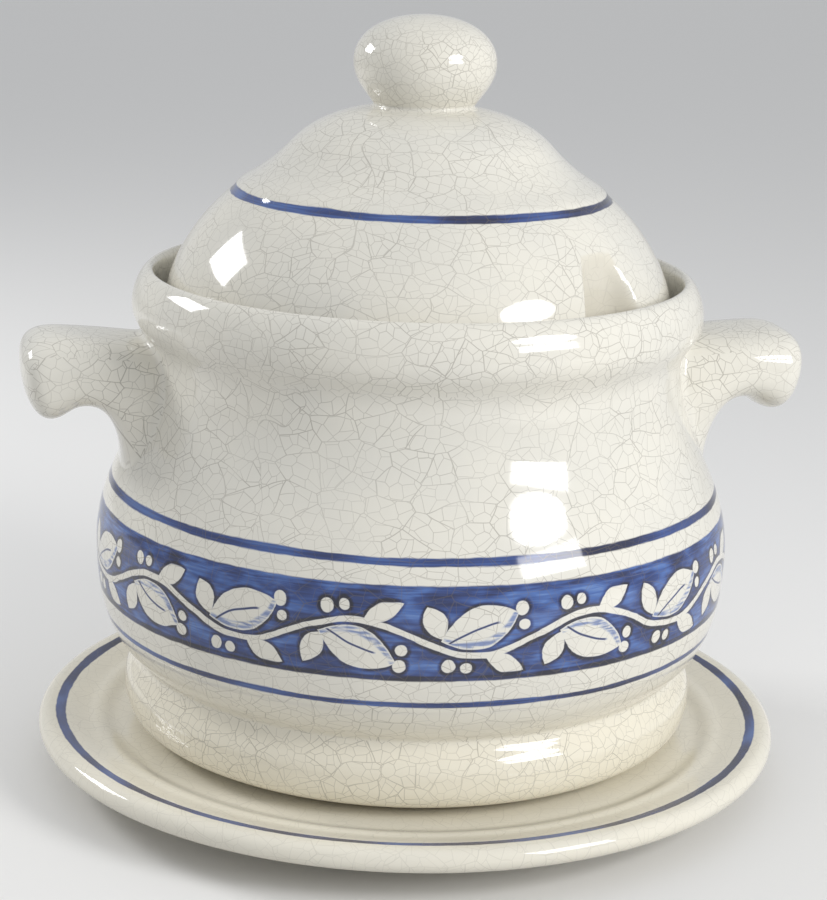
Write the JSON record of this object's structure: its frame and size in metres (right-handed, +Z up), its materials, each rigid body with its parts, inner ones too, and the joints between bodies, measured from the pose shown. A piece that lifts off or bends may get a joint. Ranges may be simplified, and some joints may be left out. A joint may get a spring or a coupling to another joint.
{
  "type": "soup tureen with underplate",
  "caption": "Round-bellied glazed earthenware soup tureen with hooked side lugs, a domed lift-off lid with a round knob and a ladle notch, standing on a dished underplate.",
  "frame": {"origin": "centre of the underplate's resting plane, on the table", "axes": "+Z up along the tureen's axis, +X towards the right-hand lug as seen from the front, -Y the front"},
  "size_m": [0.303, 0.292, 0.2935],
  "materials": {
    "underplate_glaze": "glossy warm ivory glaze with faint crackle and one cobalt brush line",
    "bowl_glaze": "glossy off-white crackle glaze with a cobalt brushwork border between brush lines",
    "handle_glaze": "glossy off-white crackle glaze",
    "lid_glaze": "glossy off-white crackle glaze with one cobalt brush line",
    "knob_glaze": "glossy off-white crackle glaze"
  },
  "bodies": {
    "underplate": {"underplate": "underplate_glaze"},
    "tureen": {"tureen_bowl": "bowl_glaze", "handle_left": "handle_glaze", "handle_right": "handle_glaze"},
    "lid": {"lid": "lid_glaze", "lid_knob": "knob_glaze"}
  },
  "joints": [
    {"name": "tureen_lift", "type": "slide", "parent": "underplate", "child": "tureen", "axis": [0, 0, 1], "range_m": [0, 0.06]},
    {"name": "lid_lift", "type": "slide", "parent": "tureen", "child": "lid", "axis": [0, 0, 1], "range_m": [0, 0.12]}
  ]
}
